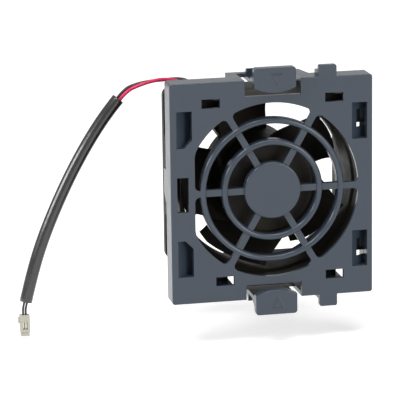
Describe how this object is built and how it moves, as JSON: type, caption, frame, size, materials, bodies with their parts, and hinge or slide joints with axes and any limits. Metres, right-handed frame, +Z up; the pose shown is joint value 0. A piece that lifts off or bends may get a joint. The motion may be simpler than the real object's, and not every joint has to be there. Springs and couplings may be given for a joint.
{
  "type": "server fan module",
  "caption": "Slide-in fan module: slate bezel with finger grille and sprung latches, black 80 x 38 mm axial fan snapped in behind it, and a short sleeved lead ending in a small plug.",
  "frame": {"origin": "on the fan's axis, in the plane of the bezel's front face", "axes": "+X to the right and +Z up as seen from the front, +Y into the chassis along the fan's axis"},
  "size_m": [0.1555, 0.051, 0.1236],
  "materials": {
    "slate_plastic": "fine moulded texture, satin",
    "black_plastic": "moulded, satin",
    "steel": "zinc plated",
    "bearing_steel": "ground",
    "ferrite": "bonded magnet, dull",
    "brass": "turned",
    "tinned_brass": "tin plated",
    "white_nylon": "moulded",
    "ivory_nylon": "moulded, slightly translucent look",
    "copper_winding": "enamelled wire",
    "green_board": "solder mask",
    "component_black": "moulded packages",
    "red_insulation": "smooth insulation",
    "black_insulation": "smooth insulation",
    "black_sleeve": "smooth flexible sleeving"
  },
  "bodies": {
    "housing": {"bezel": "slate_plastic", "fan_frame": "black_plastic", "bearing_tube": "brass", "front_bearing_outer_ring": "bearing_steel", "rear_bearing_outer_ring": "bearing_steel", "front_bearing_balls": "bearing_steel", "rear_bearing_balls": "bearing_steel", "stator_core": "steel", "coil_former_front": "white_nylon", "coil_former_rear": "white_nylon", "coil_windings": "copper_winding", "circuit_board": "green_board", "board_components": "component_black", "lead_red": "red_insulation", "lead_black": "black_insulation", "cable_sleeve": "black_sleeve", "connector_wires": "black_insulation", "connector_housing": "ivory_nylon", "connector_terminals": "tinned_brass"},
    "rotor": {"impeller": "black_plastic", "rotor_yoke": "steel", "magnet_ring": "ferrite", "shaft_bushing": "brass", "shaft": "bearing_steel", "retaining_clip": "steel", "preload_spring": "bearing_steel", "front_bearing_inner_ring": "bearing_steel", "rear_bearing_inner_ring": "bearing_steel"},
    "latch_top": {"latch_top": "slate_plastic"},
    "latch_bottom": {"latch_bottom": "slate_plastic"}
  },
  "joints": [
    {"name": "fan_spin", "type": "hinge", "parent": "housing", "child": "rotor", "pos_m": [0, 0.02, 0], "axis": [0, 1, 0], "continuous": true},
    {"name": "latch_top_press", "type": "hinge", "parent": "housing", "child": "latch_top", "pos_m": [0.0005, 0.016, 0.0486], "axis": [1, 0, 0], "range_deg": [0, 8], "stiffness_Nm_per_rad": 0.6},
    {"name": "latch_bottom_press", "type": "hinge", "parent": "housing", "child": "latch_bottom", "pos_m": [0.0005, 0.016, -0.0486], "axis": [-1, 0, 0], "range_deg": [0, 8], "stiffness_Nm_per_rad": 0.6}
  ]
}
